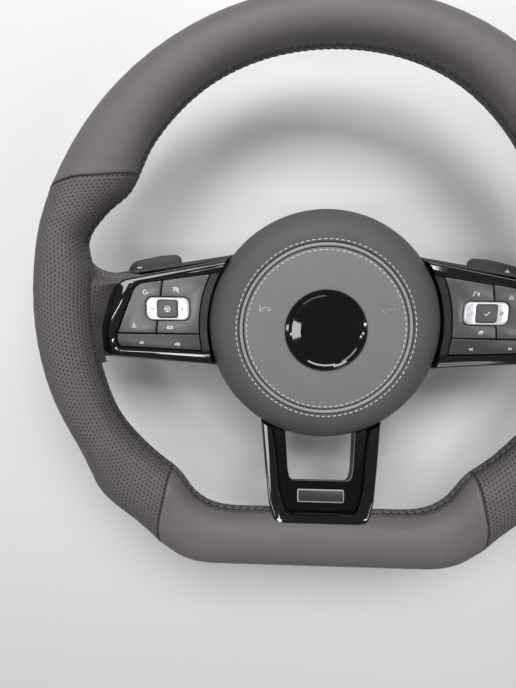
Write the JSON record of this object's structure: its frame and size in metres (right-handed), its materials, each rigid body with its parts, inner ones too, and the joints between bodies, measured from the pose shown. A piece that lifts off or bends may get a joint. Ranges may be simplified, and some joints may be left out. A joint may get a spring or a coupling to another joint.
{
  "type": "car steering wheel",
  "caption": "Flat-bottomed leather steering wheel with stitched airbag cover, switch pads with rocking keys, shift paddles and a horn that sounds when the hub is pressed.",
  "frame": {"origin": "rear mouth of the steel hub, on the steering shaft's axis", "axes": "+Z to the driver along the shaft, +Y to 12 o'clock, +X to the driver's right"},
  "size_m": [0.3676, 0.3535, 0.0907],
  "materials": {
    "armature": "cast, matt",
    "hub_insert": "turned steel",
    "rim_foam": "skinned foam",
    "leather_top": "smooth matt leather",
    "leather_grip": "perforated leather",
    "leather_bottom": "smooth matt leather",
    "bezel": "piano black",
    "switch_housing": "fine grain",
    "switch_board": "lacquered circuit board",
    "bottom_trim": "piano black",
    "badge_plate": "dark lacquer with bright edge",
    "lower_rear_trim": "fine grain",
    "rear_cover": "fine grain",
    "cover_screws": "black zinc",
    "paddle_bracket": "fine grain",
    "paddle_pins": "ground steel",
    "horn_springs": "spring wire",
    "horn_ring": "stamped contact",
    "airbag_cover": "leather grained soft skin",
    "cover_disc": "smooth matt leather",
    "piping": "smooth matt leather",
    "emblem_ring": "dark gloss",
    "emblem_disc": "dark gloss",
    "airbag_can": "zinc plated pressing",
    "airbag_cushion": "folded woven bag",
    "inflator": "drawn steel",
    "inflator_nuts": "yellow zinc",
    "guide_pins": "turned steel",
    "outer_key": "satin lacquer",
    "inner_key": "satin lacquer",
    "rocker": "satin bright plate",
    "centre_button": "satin lacquer",
    "lower_bar": "satin lacquer",
    "paddle": "dark satin"
  },
  "bodies": {
    "wheel": {"armature": "armature", "hub_insert": "hub_insert", "rim_foam": "rim_foam", "leather_top": "leather_top", "leather_grip_left": "leather_grip", "leather_grip_right": "leather_grip", "leather_bottom": "leather_bottom", "bezel_left": "bezel", "bezel_right": "bezel", "switch_housing_left": "switch_housing", "switch_housing_right": "switch_housing", "switch_board_left": "switch_board", "switch_board_right": "switch_board", "bottom_trim": "bottom_trim", "badge_plate": "badge_plate", "lower_rear_trim": "lower_rear_trim", "rear_cover": "rear_cover", "cover_screws": "cover_screws", "paddle_bracket_left": "paddle_bracket", "paddle_bracket_right": "paddle_bracket", "paddle_pins": "paddle_pins", "horn_springs": "horn_springs", "horn_ring": "horn_ring"},
    "airbag_module": {"airbag_cover": "airbag_cover", "cover_disc": "cover_disc", "piping": "piping", "emblem_ring": "emblem_ring", "emblem_disc": "emblem_disc", "airbag_can": "airbag_can", "airbag_cushion": "airbag_cushion", "inflator": "inflator", "inflator_nuts": "inflator_nuts", "guide_pins": "guide_pins"},
    "outer_key_left": {"outer_key_left": "outer_key"},
    "inner_key_left": {"inner_key_left": "inner_key"},
    "rocker_left": {"rocker_left": "rocker"},
    "centre_button_left": {"centre_button_left": "centre_button"},
    "lower_bar_left": {"lower_bar_left": "lower_bar"},
    "paddle_left": {"paddle_left": "paddle"},
    "outer_key_right": {"outer_key_right": "outer_key"},
    "inner_key_right": {"inner_key_right": "inner_key"},
    "rocker_right": {"rocker_right": "rocker"},
    "centre_button_right": {"centre_button_right": "centre_button"},
    "lower_bar_right": {"lower_bar_right": "lower_bar"},
    "paddle_right": {"paddle_right": "paddle"}
  },
  "joints": [
    {"name": "horn_press", "type": "slide", "parent": "wheel", "child": "airbag_module", "axis": [0, 0, -1], "range_m": [0, 0.0025], "stiffness_N_per_m": 6000, "springref_m": -0.003, "deforming": ["horn_springs"]},
    {"name": "outer_key_left_rock", "type": "hinge", "parent": "wheel", "child": "outer_key_left", "pos_m": [-0.124, 0.0027, 0.0452], "axis": [1, 0, 0], "range_deg": [-2.5, 2.5], "stiffness_Nm_per_rad": 0.6},
    {"name": "inner_key_left_rock", "type": "hinge", "parent": "wheel", "child": "inner_key_left", "pos_m": [-0.084, 0.0027, 0.0452], "axis": [1, 0, 0], "range_deg": [-2.5, 2.5], "stiffness_Nm_per_rad": 0.6},
    {"name": "rocker_left_rock", "type": "hinge", "parent": "wheel", "child": "rocker_left", "pos_m": [-0.1023, 0.0027, 0.0452], "axis": [0, 1, 0], "range_deg": [-3, 3], "stiffness_Nm_per_rad": 0.6},
    {"name": "centre_button_left_press", "type": "slide", "parent": "rocker_left", "child": "centre_button_left", "axis": [0, 0, -1], "range_m": [0, 0.0008], "stiffness_N_per_m": 2500, "springref_m": -0.0004},
    {"name": "lower_bar_left_rock", "type": "hinge", "parent": "wheel", "child": "lower_bar_left", "pos_m": [-0.108, -0.0187, 0.0452], "axis": [0, 1, 0], "range_deg": [-2.5, 2.5], "stiffness_Nm_per_rad": 0.6},
    {"name": "paddle_left_pull", "type": "hinge", "parent": "wheel", "child": "paddle_left", "pos_m": [-0.079, 0, 0.02], "axis": [0, 1, 0], "range_deg": [0, 3.2], "stiffness_Nm_per_rad": 8, "springref_deg": -1.72},
    {"name": "outer_key_right_rock", "type": "hinge", "parent": "wheel", "child": "outer_key_right", "pos_m": [0.124, 0.0027, 0.0452], "axis": [1, 0, 0], "range_deg": [-2.5, 2.5], "stiffness_Nm_per_rad": 0.6},
    {"name": "inner_key_right_rock", "type": "hinge", "parent": "wheel", "child": "inner_key_right", "pos_m": [0.084, 0.0027, 0.0452], "axis": [1, 0, 0], "range_deg": [-2.5, 2.5], "stiffness_Nm_per_rad": 0.6},
    {"name": "rocker_right_rock", "type": "hinge", "parent": "wheel", "child": "rocker_right", "pos_m": [0.1023, 0.0027, 0.0452], "axis": [0, 1, 0], "range_deg": [-3, 3], "stiffness_Nm_per_rad": 0.6},
    {"name": "centre_button_right_press", "type": "slide", "parent": "rocker_right", "child": "centre_button_right", "axis": [0, 0, -1], "range_m": [0, 0.0008], "stiffness_N_per_m": 2500, "springref_m": -0.0004},
    {"name": "lower_bar_right_rock", "type": "hinge", "parent": "wheel", "child": "lower_bar_right", "pos_m": [0.108, -0.0187, 0.0452], "axis": [0, 1, 0], "range_deg": [-2.5, 2.5], "stiffness_Nm_per_rad": 0.6},
    {"name": "paddle_right_pull", "type": "hinge", "parent": "wheel", "child": "paddle_right", "pos_m": [0.079, 0, 0.02], "axis": [0, -1, 0], "range_deg": [0, 3.2], "stiffness_Nm_per_rad": 8, "springref_deg": -1.72}
  ]
}
